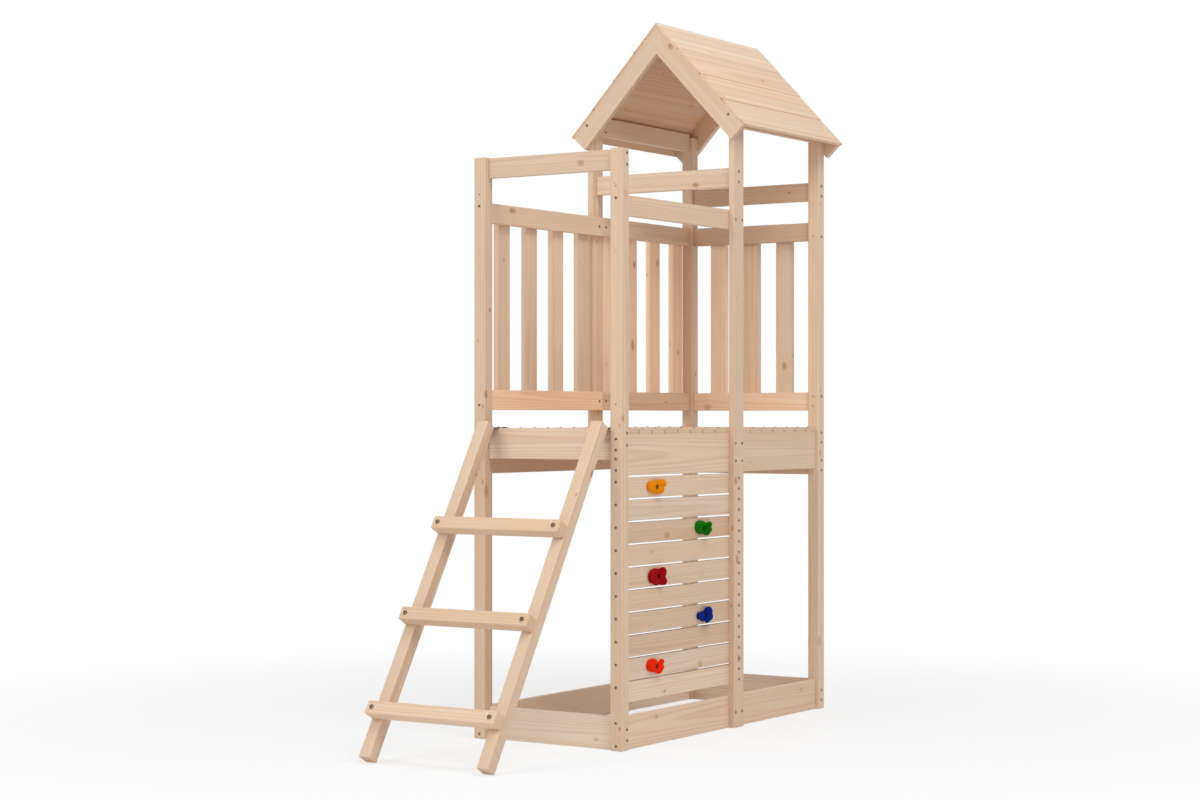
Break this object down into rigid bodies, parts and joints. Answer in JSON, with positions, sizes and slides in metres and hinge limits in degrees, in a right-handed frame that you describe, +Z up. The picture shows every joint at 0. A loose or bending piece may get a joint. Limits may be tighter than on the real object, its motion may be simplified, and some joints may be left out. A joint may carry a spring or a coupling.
{
  "type": "wooden climbing frame",
  "caption": "Narrow pine play tower with a raised deck, slatted fences, a gabled board roof, a leaning ladder and a boarded climbing wall with bolt-on holds.",
  "frame": {"origin": "on the ground, at the middle of the whole footprint with the ladder", "axes": "+Z up; +Y from the ladder towards the back; +X towards the climbing wall"},
  "size_m": [0.61, 1.7545, 2.0913],
  "materials": {
    "pine": "bare planed pine",
    "yellow_hold": "moulded, fine grit",
    "green_hold": "moulded, fine grit",
    "red_hold": "moulded, fine grit",
    "blue_hold": "moulded, fine grit",
    "orange_hold": "moulded, fine grit",
    "steel": "zinc plated",
    "black_steel": "black coated"
  },
  "bodies": {
    "root": {"front_left_post": "pine", "front_right_post": "pine", "rear_left_post": "pine", "rear_right_post": "pine", "middle_left_plank": "pine", "middle_right_plank": "pine", "front_base_board": "pine", "rear_base_board": "pine", "left_base_board": "pine", "right_front_base_board": "pine", "right_rear_base_board": "pine", "front_beam": "pine", "rear_beam": "pine", "left_front_beam": "pine", "left_rear_beam": "pine", "right_front_beam": "pine", "right_rear_beam": "pine", "deck_boards": "pine", "handrail": "pine", "guard_rail": "pine", "cross_rail": "pine", "rear_top_rail": "pine", "left_front_fence_rails": "pine", "left_rear_fence_rails": "pine", "rear_fence_rails": "pine", "left_front_fence_slats": "pine", "left_rear_fence_slats": "pine", "rear_fence_slats": "pine", "climbing_board_1": "pine", "climbing_board_2": "pine", "climbing_board_3": "pine", "climbing_board_4": "pine", "climbing_board_5": "pine", "climbing_board_6": "pine", "climbing_board_7": "pine", "climbing_board_8": "pine", "climbing_board_9": "pine", "climbing_board_10": "pine", "front_left_rafter": "pine", "front_right_rafter": "pine", "rear_left_rafter": "pine", "rear_right_rafter": "pine", "left_roof_boards": "pine", "right_roof_boards": "pine", "eave_plates": "pine", "left_ladder_rail": "pine", "right_ladder_rail": "pine", "ladder_rung_1": "pine", "ladder_rung_2": "pine", "ladder_rung_3": "pine", "yellow_hold": "yellow_hold", "green_hold": "green_hold", "red_hold": "red_hold", "blue_hold": "blue_hold", "orange_hold": "orange_hold", "frame_screws": "steel", "ladder_bolts": "steel", "hold_bolts": "steel", "bolt_nuts": "steel", "ladder_brackets": "black_steel"}
  },
  "joints": []
}
